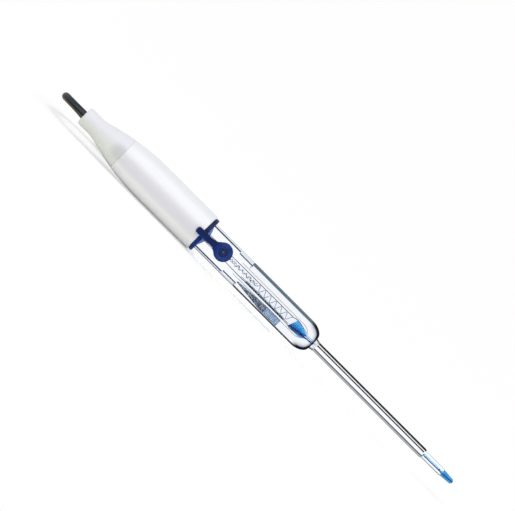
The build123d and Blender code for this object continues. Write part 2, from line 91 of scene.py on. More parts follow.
def station(distance: float, y: float = 0.0, z: float = 0.0) -> Vector:
    """Turn a station in millimetres into a point of the frame.

    Args:
        distance: Millimetres along the axis from the cap's lower end.
        y: Millimetres across, away from the camera.
        z: Millimetres above the axis.

    Returns:
        The point in metres.
    """
    return Vector((CAP_END + distance * MM, y * MM, AXIS_HEIGHT + z * MM))


def srgb(red: float, green: float, blue: float) -> Colour:
    """Turn a display colour into scene-linear light."""
    return tuple(v / 12.92 if v <= 0.04045 else ((v + 0.055) / 1.055) ** 2.4 for v in (red, green, blue))


def blended(first: Colour, second: Colour, share: float) -> Colour:
    """Mix two colours."""
    return tuple(a + (b - a) * share for a, b in zip(first, second))


def full_turn(steps: int) -> list[float]:
    """Give the angles of a full turn in equal steps."""
    return [math.tau * index / steps for index in range(steps)]


def placed(name: str, data: bpy.types.ID) -> bpy.types.Object:
    """Put new data into the scene as an object."""
    made = bpy.data.objects.new(name, data)
    bpy.context.scene.collection.objects.link(made)
    return made


class Nodes:
    """Small helper that builds the node tree of a material or a world."""

    def __init__(self, owner: bpy.types.Material | bpy.types.World) -> None:
        """Clear the owner's node tree and add an output node.

        Args:
            owner: The material or world that the nodes are for.
        """
        owner.use_nodes = True
        self.owner = owner
        self.tree = owner.node_tree
        self.tree.nodes.clear()
        self.output = self.add("OutputWorld" if isinstance(owner, bpy.types.World) else "OutputMaterial")

    def add(self, kind: str, **settings: object) -> bpy.types.Node:
        """Add a node and set its properties.

        Args:
            kind: Blender's node type, without the ShaderNode prefix.
            **settings: Properties of the node.

        Returns:
            The new node.
        """
        node = self.tree.nodes.new("ShaderNode" + kind)
        for key, value in settings.items():
            setattr(node, key, value)
        return node

    def link(self, source: Socket, target: Socket) -> None:
        """Join two sockets."""
        self.tree.links.new(source, target)

    def feed(self, value: object, target: Socket) -> None:
        """Join a socket to another, or set it to a number or colour."""
        if isinstance(value, Socket):
            self.link(value, target)
        elif isinstance(value, tuple):
            target.default_value = (*value, 1.0)
        else:
            target.default_value = value

    def principled(self, **sockets: object) -> bpy.types.Node:
        """Add the surface shader, join it to the output and set its sockets.

        Args:
            **sockets: Socket names, with underscores for spaces, and their values.

        Returns:
            The shader node.
        """
        shader = self.add("BsdfPrincipled")
        for key, value in sockets.items():
            shader.inputs[key.replace("_", " ")].default_value = value
        self.link(shader.outputs["BSDF"], self.output.inputs["Surface"])
        return shader

    def noise(self, size: float, detail: float = 3.0) -> Socket:
        """Add smooth noise in the object's own coordinates.

        Args:
            size: Size of one blotch in metres.
            detail: Octaves of finer noise.

        Returns:
            The noise value's socket.
        """
        node = self.add("TexNoise")
        node.inputs["Scale"].default_value = 1 / size
        node.inputs["Detail"].default_value = detail
        self.link(self.add("TexCoord").outputs["Object"], node.inputs["Vector"])
        return node.outputs["Fac"]

    def ramp(self, value: Socket, stops: Stops) -> Socket:
        """Turn a value into a colour.

        Args:
            value: Socket with the value.
            stops: Positions and their colours.

        Returns:
            The colour's socket.
        """
        node = self.add("ValToRGB")
        elements = node.color_ramp.elements
        while len(elements) < len(stops):
            elements.new(0.5)
        for element, (position, colour) in zip(elements, stops):
            element.position = position
            element.color = (*colour, 1.0)
        self.link(value, node.inputs["Fac"])
        return node.outputs["Color"]

    def math(self, operation: str, *values: Socket | float) -> Socket:
        """Add a math node on sockets or numbers."""
        node = self.add("Math", operation=operation)
        for socket, value in zip(node.inputs, values):
            self.feed(value, socket)
        return node.outputs[0]

    def reach(self, first: Socket, second: Socket) -> Socket:
        """Give the length that two legs at right angles span."""
        squares = [self.math("MULTIPLY", leg, leg) for leg in (first, second)]
        return self.math("SQRT", self.math("ADD", *squares))

    def between(self, value: Socket, low: float, high: float, **settings: object) -> Socket:
        """Scale a value so that one number gives 0 and another gives 1.

        Args:
            value: Socket with the value.
            low: The number that gives 0.
            high: The number that gives 1.
            **settings: Further properties of the node.

        Returns:
            The share's socket.
        """
        node = self.add("MapRange", **settings)
        self.link(value, node.inputs["Value"])
        node.inputs["From Min"].default_value = low
        node.inputs["From Max"].default_value = high
        return node.outputs["Result"]

    def mixed(self, share: Socket, first: Socket | Colour, second: Socket | Colour) -> Socket:
        """Mix two colours by a share, 0 for the first and 1 for the second."""
        node = self.add("Mix", data_type="RGBA")
        self.link(share, node.inputs[MIX_SHARE])
        self.feed(first, node.inputs[MIX_FIRST])
        self.feed(second, node.inputs[MIX_SECOND])
        return node.outputs[MIX_RESULT]

    def darkened(self, colour: Socket, share: float) -> Socket:
        """Bring a colour down to a share of its light."""
        node = self.add("Mix", data_type="RGBA", blend_type="MULTIPLY")
        node.inputs[MIX_SHARE].default_value = 1.0
        self.link(colour, node.inputs[MIX_FIRST])
        self.feed((share,) * 3, node.inputs[MIX_SECOND])
        return node.outputs[MIX_RESULT]

    def parts(self, vector: Socket) -> bpy.types.NodeOutputs:
        """Part a vector into its X, Y and Z."""
        node = self.add("SeparateXYZ")
        self.link(vector, node.inputs["Vector"])
        return node.outputs

    def position(self) -> bpy.types.NodeOutputs:
        """Give the X, Y and Z of the place that is shaded."""
        return self.parts(self.add("NewGeometry").outputs["Position"])

    def seen(self) -> Socket:
        """Give 1 for what the camera, gloss and glass see, 0 for what only lights something."""
        rays = self.add("LightPath").outputs
        direct = self.math("MAXIMUM", rays["Is Camera Ray"], rays["Is Glossy Ray"])
        return self.math("MAXIMUM", direct, rays["Is Transmission Ray"])

    def facing(self) -> Socket:
        """Give 0 where a surface is seen square on and 1 where it is seen edge on."""
        node = self.add("LayerWeight")
        node.inputs["Blend"].default_value = 0.5
        return node.outputs["Facing"]

    def upward(self, low: float, high: float) -> Socket:
        """Tell surfaces that face up, 1, from those that face down, 0.

        Args:
            low: The normal's height that gives 0.
            high: The normal's height that gives 1.

        Returns:
            The share's socket.
        """
        geometry = self.add("NewGeometry").outputs
        outward = self.math("SUBTRACT", 1.0, self.math("MULTIPLY", geometry["Backfacing"], 2.0))
        height = self.parts(geometry["True Normal"])["Z"]
        return self.between(self.math("MULTIPLY", height, outward), low, high)

    def bump(self, height: Socket, depth: float, shader: bpy.types.Node) -> None:
        """Roughen a shader's surface.

        Args:
            height: Socket with the height.
            depth: Height of the relief in metres.
            shader: The shader that gets the relief.
        """
        node = self.add("Bump")
        node.inputs["Distance"].default_value = depth
        node.inputs["Strength"].default_value = RELIEF_STRENGTH
        self.link(height, node.inputs["Height"])
        self.link(node.outputs["Normal"], shader.inputs["Normal"])


@dataclass(frozen=True)
class Moulding:
    """Opaque plastic or rubber with faint mottling and a fine grain.

    Its colour is plain, or is painted light and shade in stripes by the height of the surface's normal, from
    0, facing down, to 1, facing up. It may have a colour painted on the side that faces down, painted shade
    where it is darker and painted light where it is paler, and a soft oval of painted shade about a station.
    """

    name: str
    colour: Colour | None = None
    # Colour painted on the side that faces down: painted shade where darker, painted light where paler.
    painted_underside: Colour | None = None
    painted_underside_fade: float = 0.25
    # Painted light and shade: colours by the height of the surface's normal.
    light_and_shade_bands: Stops = ()
    band_blotches: float = 0.04
    # A soft oval of painted shade about a station.
    painted_shade_station: float | None = None
    painted_shade_size: tuple[float, float] = (4.2, 3.4)
    painted_shade_fade: tuple[float, float] = (0.3, 1.2)
    painted_shade_share: float = 0.80
    shine: float = 0.5
    roughness: float = 0.4
    variation: float = 0.04
    blotch: float = 4.0
    grain: float = 0.25
    relief: float = 0.01
    coat: float = 0.0
    coat_roughness: float = 0.08

    def mottled(self, nodes: Nodes, colour: Colour) -> Socket:
        """Give a colour soft blotches."""
        darker = blended(colour, BLACK, self.variation)
        lighter = blended(colour, WHITE, self.variation / 2)
        return nodes.ramp(nodes.noise(self.blotch * MM), ((0.35, darker), (0.65, lighter)))

    def light_and_shade_banded(self, nodes: Nodes) -> Socket:
        """Paint light and shade by the height of the normal, with soft blotches."""
        blotches = nodes.math("MULTIPLY", nodes.noise(self.blotch * MM), self.band_blotches)
        return nodes.ramp(nodes.math("ADD", nodes.upward(-1.0, 1.0), blotches), self.light_and_shade_bands)

    def painted_shade_mask(self, nodes: Nodes) -> Socket:
        """Fade a soft oval of painted shade about a station: 0 in its middle, 1 outside it."""
        place = nodes.position()
        length, height = self.painted_shade_size
        along = nodes.math("SUBTRACT", place["X"], station(self.painted_shade_station).x)
        rise = nodes.math("SUBTRACT", place["Z"], AXIS_HEIGHT)
        reach = nodes.reach(nodes.math("DIVIDE", along, length * MM), nodes.math("DIVIDE", rise, height * MM))
        return nodes.between(reach, *self.painted_shade_fade, interpolation_type="SMOOTHSTEP")

    def material(self) -> bpy.types.Material:
        """Build the material."""
        nodes = Nodes(bpy.data.materials.new(self.name))
        shader = nodes.principled(Roughness=self.roughness, Coat_Weight=self.coat,
                                  Coat_Roughness=self.coat_roughness, Specular_IOR_Level=self.shine)
        tint = self.light_and_shade_banded(nodes) if self.light_and_shade_bands else self.mottled(nodes, self.colour)
        # Darken the colour in a soft oval: painted shade.
        if self.painted_shade_station is not None:
            tint = nodes.mixed(self.painted_shade_mask(nodes), nodes.darkened(tint, self.painted_shade_share), tint)
        # Paint a colour on the side that faces down: painted shade where it is darker, painted light where it
        # is paler.
        if self.painted_underside is not None:
            above = nodes.upward(-self.painted_underside_fade, self.painted_underside_fade)
            tint = nodes.mixed(above, self.mottled(nodes, self.painted_underside), tint)
        nodes.link(tint, shader.inputs["Base Color"])
        nodes.bump(nodes.noise(self.grain * MM, 2.0), self.relief * MM, shader)
        return nodes.owner


@dataclass(frozen=True)
class Glass:
    """Clear glass, as of a bore that draws no line of its own."""

    name: str

    def tint(self, nodes: Nodes) -> Socket | Colour:
        """Give the glass's colour."""
        return CLEAR

    def material(self) -> bpy.types.Material:
        """Build the material."""
        nodes = Nodes(bpy.data.materials.new(self.name))
        shader = nodes.principled(Roughness=0.0, IOR=GLASS_IOR, Transmission_Weight=1.0)
        nodes.feed(self.tint(nodes), shader.inputs["Base Color"])
        return nodes.owner


@dataclass(frozen=True)
class EdgedGlass(Glass):
    """Clear glass painted darker where one looks along its wall, as painted reflection, by one ramp above and
    one below, which paint its upper and lower sides in different painted shade.

    A ramp runs from 0, a surface seen square on, to 1, a surface seen edge on. A crest keeps the
    upper ramp to normals that are higher, and a further ramp takes over between two stations.
    """

    upper: Stops
    lower: Stops | None = None
    side_fade: float = 0.05
    crest: float | None = None
    crest_fade: float = 0.03
    further: Stops | None = None
    further_at: tuple[float, float] = (0.0, 1.0)
    ripple: float = 0.01
    ripple_size: float = 6.0

    def along(self, nodes: Nodes, start: float, end: float) -> Socket:
        """Give 0 before one station and 1 after another."""
        return nodes.between(nodes.position()["X"], station(start).x, station(end).x)

    def tint(self, nodes: Nodes) -> Socket:
        """Work out the glass's colour from how it is seen: painted reflection and shade."""
        ripples = nodes.math("MULTIPLY", nodes.noise(self.ripple_size * MM), self.ripple)
        seen = nodes.math("ADD", nodes.facing(), ripples)
        tint = nodes.ramp(seen, self.upper)
        if self.crest is not None:
            high = nodes.upward(self.crest - self.crest_fade, self.crest + self.crest_fade)
            tint = nodes.mixed(high, CLEAR, tint)
        # The lower ramp paints the side that faces down in its own painted shade.
        if self.lower is not None:
            above = nodes.upward(-self.side_fade, self.side_fade)
            tint = nodes.mixed(above, nodes.ramp(seen, self.lower), tint)
        if self.further is not None:
            tint = nodes.mixed(self.along(nodes, *self.further_at), tint, nodes.ramp(seen, self.further))
        return tint


@dataclass(frozen=True)
class SleeveGlass(EdgedGlass):
    """Glass of the clear sleeve, whose bore gets its own painted dark line of reflection."""

    bore: Stops = ()
    bore_radius: float = 5.6
    bore_end: float = 15.0
    bore_fade: float = 0.2

    def tint(self, nodes: Nodes) -> Socket:
        """Use one ramp on the outside and another in the bore, up to its end."""
        outside = super().tint(nodes)
        place = nodes.position()
        reach = nodes.reach(nodes.math("SUBTRACT", place["Z"], AXIS_HEIGHT), place["Y"])
        beyond = self.along(nodes, self.bore_end, self.bore_end + self.bore_fade)
        within = nodes.mixed(beyond, nodes.ramp(nodes.facing(), self.bore), CLEAR)
        return nodes.mixed(nodes.math("GREATER_THAN", reach, self.bore_radius * MM), within, outside)


@dataclass(frozen=True)
class Metal:
    """Drawn or plated metal with faint blotches and an uneven polish."""

    name: str
    colour: Colour
    roughness: float = 0.25
    unevenness: float = 0.2
    variation: float = 0.15
    blotch: float = 1.0
    grain: float = 0.4

    def material(self) -> bpy.types.Material:
        """Build the material."""
        nodes = Nodes(bpy.data.materials.new(self.name))
        shader = nodes.principled(Metallic=1.0)
        darker = blended(self.colour, BLACK, self.variation)
        tint = nodes.ramp(nodes.noise(self.blotch * MM, 4.0), ((0.3, darker), (0.7, self.colour)))
        nodes.link(tint, shader.inputs["Base Color"])
        rough = nodes.math("MULTIPLY_ADD", nodes.noise(self.grain * MM), self.unevenness,
                           self.roughness - self.unevenness / 2)
        nodes.link(rough, shader.inputs["Roughness"])
        return nodes.owner


# Boot: painted light and shade by the normal's height, and a soft oval of painted shade at station -42.5.
BOOT = Moulding(
    "boot soft plastic", roughness=0.55, blotch=9.0, shine=0.2, painted_shade_station=-42.5,
    light_and_shade_bands=((0.02, srgb(0.70, 0.71, 0.70)), (0.10, srgb(0.85, 0.86, 0.83)), (0.38, srgb(0.87, 0.88, 0.85)),
           (0.55, srgb(0.86, 0.86, 0.87)), (0.75, srgb(0.86, 0.86, 0.885)), (1.0, srgb(0.85, 0.85, 0.875))),
)
# Cap: painted light and shade in stripes by the height of the normal, lighter and greyer round the cap.
CAP = Moulding(
    "cap plastic", roughness=0.35, blotch=12.0, coat=0.05, shine=0.3,
    light_and_shade_bands=((0.02, srgb(0.74, 0.74, 0.76)), (0.09, srgb(0.89, 0.89, 0.89)), (0.20, srgb(0.90, 0.90, 0.89)),
           (0.26, srgb(0.93, 0.93, 0.92)), (0.36, srgb(0.87, 0.87, 0.88)), (0.46, srgb(0.845, 0.845, 0.865)),
           (0.56, srgb(0.845, 0.845, 0.865)), (0.68, srgb(0.905, 0.905, 0.915)),
           (0.80, srgb(0.88, 0.885, 0.90)), (0.97, srgb(0.86, 0.865, 0.88))),
)
RESIN = Moulding("potting resin", (0.80, 0.79, 0.74), roughness=0.6)
BLUE_BUNG = Moulding("blue bung rubber", srgb(0.07, 0.40, 0.72), roughness=0.45)
# Closure: painted light and shade by the normal's height, brighter blue where it faces down and navy where it
# faces up.
CLOSURE = Moulding(
    "closure rubber", roughness=0.42, blotch=2.5, coat=0.02, shine=0.12,
    light_and_shade_bands=((0.10, srgb(0.0, 0.16, 0.46)), (0.34, srgb(0.0, 0.19, 0.50)), (0.47, srgb(0.02, 0.13, 0.37)),
           (0.56, srgb(0.04, 0.11, 0.29)), (1.0, srgb(0.03, 0.09, 0.26))),
)
HEAD = Moulding("closure head", srgb(0.0, 0.16, 0.45), roughness=0.42, blotch=2.5, coat=0.02, shine=0.12)
# Lit and shaded copies of the head's one blue rubber: the dimple's floor darker as painted shade, its slope
# and the centre dot paler as painted light.
DIMPLE = Moulding("closure dimple", srgb(0.06, 0.11, 0.29), roughness=0.5, blotch=1.0, shine=0.1)
DIMPLE_SLOPE = Moulding("closure dimple slope", srgb(0.03, 0.25, 0.56), roughness=0.45, blotch=1.0, shine=0.1)
CLOSURE_DOT = Moulding("closure centre dot", srgb(0.02, 0.34, 0.68), roughness=0.4, blotch=0.5, shine=0.2)
DARK_BED = Moulding("packed dark bed", srgb(0.20, 0.27, 0.35), roughness=0.7, variation=0.25, blotch=1.4,
                    relief=0.04, shine=0.1)
PALE_BED = Moulding("packed pale bed", srgb(0.42, 0.51, 0.62), roughness=0.7, variation=0.2, blotch=1.2,
                    relief=0.04, shine=0.1)
# Blue gel: darker on the side that faces down, painted shade.
BLUE_GEL = Moulding("blue gel", srgb(0.13, 0.48, 0.70), painted_underside=srgb(0.12, 0.39, 0.62), roughness=0.3,
                    variation=0.05, blotch=2.2, shine=0.15)
PALE_GEL = Moulding("pale gel", srgb(0.30, 0.58, 0.78), roughness=0.3, variation=0.08, blotch=1.2, shine=0.15)
CAPILLARY_GEL = Moulding("capillary gel", srgb(0.48, 0.65, 0.74), roughness=0.3, variation=0.05, blotch=1.0,
                         shine=0.1)
NAVY_LINE = Moulding("navy inner line", srgb(0.03, 0.17, 0.48), roughness=0.6, blotch=1.0, shine=0.0)
JUNCTION = Moulding("junction bead", srgb(0.06, 0.12, 0.30), roughness=0.5)
# Blue membrane: paler on the side that faces down, painted light.
MEMBRANE = Moulding("blue membrane", srgb(0.06, 0.52, 0.80), painted_underside=srgb(0.20, 0.58, 0.80), roughness=0.25,
                    variation=0.06, blotch=1.5, coat=0.1, shine=0.2)
# Cable jacket: painted light and shade by the normal's height, with a painted highlight stripe in slate above
# the middle and paler olive-brown painted light on the lower side.
JACKET = Moulding(
    "cable jacket", roughness=0.45, blotch=3.0, shine=0.15,
    light_and_shade_bands=((0.05, srgb(0.20, 0.18, 0.15)), (0.22, srgb(0.31, 0.29, 0.25)), (0.38, srgb(0.10, 0.10, 0.09)),
           (0.56, srgb(0.05, 0.06, 0.06)), (0.70, srgb(0.27, 0.32, 0.36)), (0.80, srgb(0.14, 0.16, 0.18)),
           (1.0, srgb(0.12, 0.13, 0.14))),
)
TIE = Moulding("coil tie", (0.04, 0.04, 0.045), roughness=0.6)
PLUG_BOOT = Moulding("plug strain relief", (0.025, 0.025, 0.028), roughness=0.5)
INSULATOR = Moulding("plug insulator", (0.80, 0.80, 0.78), roughness=0.5)
GASKET = Moulding("plug gasket", (0.40, 0.08, 0.06), roughness=0.55)
DARK_WIRE = Moulding("dark stem wire", srgb(0.05, 0.05, 0.07), roughness=0.7, blotch=3.0, shine=0.0)
# Reference rod: grey above and dark on the side that faces down, painted shade.
REFERENCE_ROD = Moulding("coated reference rod", srgb(0.46, 0.51, 0.56), painted_underside=srgb(0.18, 0.20, 0.24),
                         roughness=0.5, blotch=1.5, shine=0.1)
SILVER = Metal("silver wire", srgb(0.48, 0.50, 0.54), roughness=0.35)
NICKEL = Metal("nickel plate", (0.62, 0.61, 0.58), roughness=0.28)
GOLD = Metal("gilt pin", (0.78, 0.56, 0.22), roughness=0.25)

CLEAR = (0.985, 0.99, 1.0)
BODY_CLEAR = srgb(0.965, 0.97, 0.985)
# Colours of the painted reflection lines and painted shade along the glass walls.
SLATE = srgb(0.38, 0.46, 0.52)
SLATE_LINE = srgb(0.28, 0.35, 0.41)
DEEP_SLATE = srgb(0.16, 0.20, 0.25)
LILAC = srgb(0.88, 0.90, 0.94)
BLACK_EDGE = srgb(0.06, 0.06, 0.08)

# Glass finishes: darker by viewing angle as painted reflection, with their upper and lower sides in painted
# light and shade.
BORE_GLASS = Glass("clear bore")
SLEEVE_GLASS = SleeveGlass(
    "sleeve glass",
    upper=((0.36, CLEAR), (0.46, LILAC), (0.72, LILAC), (0.80, srgb(0.72, 0.74, 0.78))),
    lower=((0.36, CLEAR), (0.46, LILAC), (0.62, LILAC), (0.70, srgb(0.40, 0.43, 0.48))),
    bore=((0.52, CLEAR), (0.58, SLATE_LINE), (1.0, DEEP_SLATE)),
)
SPIGOT_GLASS = EdgedGlass("spigot glass", ((0.52, CLEAR), (0.60, srgb(0.20, 0.25, 0.30)), (1.0, DEEP_SLATE)))
BODY_GLASS = EdgedGlass(
    "body glass",
    upper=((0.37, BODY_CLEAR), (0.43, SLATE_LINE), (0.50, SLATE), (1.0, SLATE)),
    lower=((0.50, BODY_CLEAR), (0.58, SLATE), (0.66, BLACK_EDGE), (1.0, BLACK_EDGE)),
    further=((0.16, BODY_CLEAR), (0.32, srgb(0.78, 0.80, 0.84)), (0.42, srgb(0.40, 0.42, 0.46)),
             (0.48, BLACK_EDGE), (1.0, BLACK_EDGE)),
    further_at=(51.6, 54.0),
)
NECK_GLASS = EdgedGlass("neck glass", ((0.06, CLEAR), (0.30, srgb(0.60, 0.62, 0.66)),
                                       (0.6, srgb(0.30, 0.31, 0.35)), (1.0, BLACK_EDGE)))
INNER_GLASS = EdgedGlass("inner tube glass", ((0.44, CLEAR), (0.52, SLATE_LINE),
                                              (0.64, srgb(0.12, 0.14, 0.18))))
MIDDLE_GLASS = EdgedGlass("middle tube glass", ((0.58, CLEAR), (0.68, srgb(0.52, 0.55, 0.60)),
                                                (1.0, srgb(0.42, 0.45, 0.50))))
STEM_GLASS = EdgedGlass(
    "stem glass",
    crest=0.66,
    upper=((0.14, CLEAR), (0.20, BLACK_EDGE), (1.0, BLACK_EDGE)),
    lower=((0.09, CLEAR), (0.12, srgb(0.14, 0.15, 0.18)), (0.19, srgb(0.16, 0.17, 0.20)),
           (0.24, srgb(0.70, 0.71, 0.74)), (0.72, srgb(0.66, 0.67, 0.70)), (0.85, srgb(0.50, 0.51, 0.54))),
)
TIP_GLASS = EdgedGlass(
    "tip glass",
    upper=((0.40, CLEAR), (0.58, srgb(0.78, 0.80, 0.83)), (0.80, srgb(0.52, 0.54, 0.58))),
    lower=((0.28, CLEAR), (0.45, srgb(0.70, 0.72, 0.75)), (0.62, srgb(0.34, 0.35, 0.38))),
)

NODE_FINISHES: dict[str, Moulding | Glass | Metal] = {
    "cable_boot": BOOT,
    "cap_shell": CAP,
    "potting_plug": RESIN,
    "filling_sleeve": SLEEVE_GLASS,
    "inner_bung": BLUE_BUNG,
    "reference_wedge": DARK_BED,
    "reference_cartridge": PALE_BED,
    "junction_bead": JUNCTION,
    "sensing_tip": MEMBRANE,
    "coil_tie": TIE,
    "bnc_boot": PLUG_BOOT,
    "bnc_ferrule": NICKEL,
    "bnc_body": NICKEL,
    "bnc_coupling_nut": NICKEL,
    "bnc_insulator": INSULATOR,
    "bnc_contact_pin": GOLD,
    "bnc_gasket": GASKET,
}


class Form:
    """Grows meshes about and along the electrode's axis, in stations."""

    CREASE = math.radians(40)
    POLE = 1e-6

    @staticmethod
    def finished(name: str, shape: bmesh.types.BMesh) -> bpy.types.Object:
        """Turn a grown shape into an object with smooth faces and crisp corners."""
        bmesh.ops.recalc_face_normals(shape, faces=shape.faces)
        for face in shape.faces:
            face.smooth = True
        for edge in shape.edges:
            if len(edge.link_faces) == 2 and edge.calc_face_angle() > Form.CREASE:
                edge.smooth = False
        mesh = bpy.data.meshes.new(name)
        shape.to_mesh(mesh)
        shape.free()
        return placed(name, mesh)

    @staticmethod
    def rings(shape: bmesh.types.BMesh, rings: Sequence[Sequence[Vector]], closed: bool,
              zones: Sequence[int] = ()) -> None:
        """Skin a row of rings that have as many points each.

        Args:
            shape: The shape that grows.
            rings: The rings, from first to last; a ring of one point is a pole.
            closed: Whether the last ring joins the first, else both ends are capped.
            zones: Material index of each band.
        """
        rows = [[shape.verts.new(place) for place in ring] for ring in rings]
        pairs = list(zip(rows, rows[1:]))
        if closed:
            pairs.append((rows[-1], rows[0]))
        for band, (first, second) in enumerate(pairs):
            sides = max(len(first), len(second))
            for index in range(sides):
                after = (index + 1) % sides
                corners = [first[index % len(first)], first[after % len(first)],
                           second[after % len(second)], second[index % len(second)]]
                face = shape.faces.new(list(dict.fromkeys(corners)))
                face.material_index = zones[band] if zones else 0
        if not closed:
            for row in (rows[0], rows[-1]):
                if len(row) > 1:
                    shape.faces.new(row)

    @classmethod
    def turned(cls, shape: bmesh.types.BMesh, outline: Outline, zones: Sequence[int] = (), steps: int = 72,
               place: Callable[[float, float, float], Vector] = station) -> None:
        """Turn an outline about an axis; one that never meets the axis is a tube.

        Args:
            shape: The shape that grows.
            outline: Distances along the axis and radii.
            zones: Material index of each band.
            steps: Points round a ring.
            place: Gives the point at a distance along the axis and two distances across it.
        """
        rings = []
        for along, radius in outline:
            angles = full_turn(steps) if radius > cls.POLE else [0.0]
            rings.append([place(along, radius * math.cos(a), radius * math.sin(a)) for a in angles])
        cls.rings(shape, rings, closed=all(radius > cls.POLE for _, radius in outline), zones=zones)

    @classmethod
    def lathe(cls, name: str, outline: Outline, zones: Sequence[int] = (),
              steps: int = 72) -> bpy.types.Object:
        """Make one turned piece."""
        shape = bmesh.new()
        cls.turned(shape, outline, zones, steps)
        return cls.finished(name, shape)

    @classmethod
    def loft(cls, name: str, sections: Sequence[Section], depth: float = 0.0,
             steps: int = 32) -> bpy.types.Object:
        """Skin oval sections.

        Args:
            name: The piece's name.
            sections: Station and height of the top, station and height of the bottom, half width.
            depth: Millimetres that the piece lies behind the axis.
            steps: Points round a section.

        Returns:
            The piece.
        """
        shape = bmesh.new()
        rings = []
        for top_at, top, low_at, low, width in sections:
            ring = []
            for angle in full_turn(steps):
                share = (math.cos(angle) + 1) / 2
                ring.append(station(low_at + (top_at - low_at) * share, depth + width * math.sin(angle),
                                    low + (top - low) * share))
            rings.append(ring)
        cls.rings(shape, rings, closed=False)
        return cls.finished(name, shape)

    @staticmethod
    def round_sections(profile: Outline, height: float = 0.0) -> list[Section]:
        """Give sections for a loft, round and at one height, from stations and radii."""
        return [(at, height + radius, at, height - radius, radius) for at, radius in profile]

    @staticmethod
    def curve(name: str, places: Sequence[Sequence[float]], radius: float, steps: int,
              roundness: int) -> bpy.types.Object:
        """Draw a smooth round curve.

        Args:
            name: The piece's name.
            places: Its control points in metres.
            radius: Half its thickness in metres.
            steps: Steps from one control point to the next.
            roundness: How fine its section is.

        Returns:
            The piece.
        """
        data = bpy.data.curves.new(name, "CURVE")
        data.dimensions = "3D"
        data.resolution_u = steps
        data.bevel_depth = radius
        data.bevel_resolution = roundness
        data.use_fill_caps = True
        spline = data.splines.new("NURBS")
        spline.points.add(len(places) - 1)
        for control, place in zip(spline.points, places):
            control.co = (*place, 1.0)
        spline.order_u = 3
        spline.use_endpoint_u = True
        return placed(name, data)

    @classmethod
    def wire(cls, name: str, points: Sequence[Point], radius: float) -> bpy.types.Object:
        """Draw a wire through points given as station, depth and height."""
        return cls.curve(name, [station(*point) for point in points], radius * MM, steps=4, roundness=3)


class Finisher:
    """Gives every CAD node its finish and keeps one material per finish."""

    def __init__(self) -> None:
        """Start with no materials made."""
        self.made: dict[str, bpy.types.Material] = {}

    def of(self, finish: Moulding | Glass | Metal) -> bpy.types.Material:
        """Give a finish's material, made once."""
        if finish.name not in self.made:
            self.made[finish.name] = finish.material()
        return self.made[finish.name]

    def dress_nodes(self) -> None:
        """Put each node's finish into its material slots."""
        for name, finish in NODE_FINISHES.items():
            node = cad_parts[name]
            for slot in node.material_slots:
                slot.material = self.of(finish)
            if isinstance(finish, Glass):
                node.visible_shadow = False
            log.info("node %s: %s", name, finish.name)

    def dress(self, piece: bpy.types.Object, *finishes: Moulding | Glass | Metal) -> bpy.types.Object:
        """Put finishes into a new piece's slots and let it ride on the electrode."""
        for finish in finishes:
            piece.data.materials.append(self.of(finish))
        if isinstance(finishes[0], Glass):
            piece.visible_shadow = False
        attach(piece, Body.ELECTRODE.value)
        log.info("piece %s: %s", piece.name, finishes[0].name)
        return piece


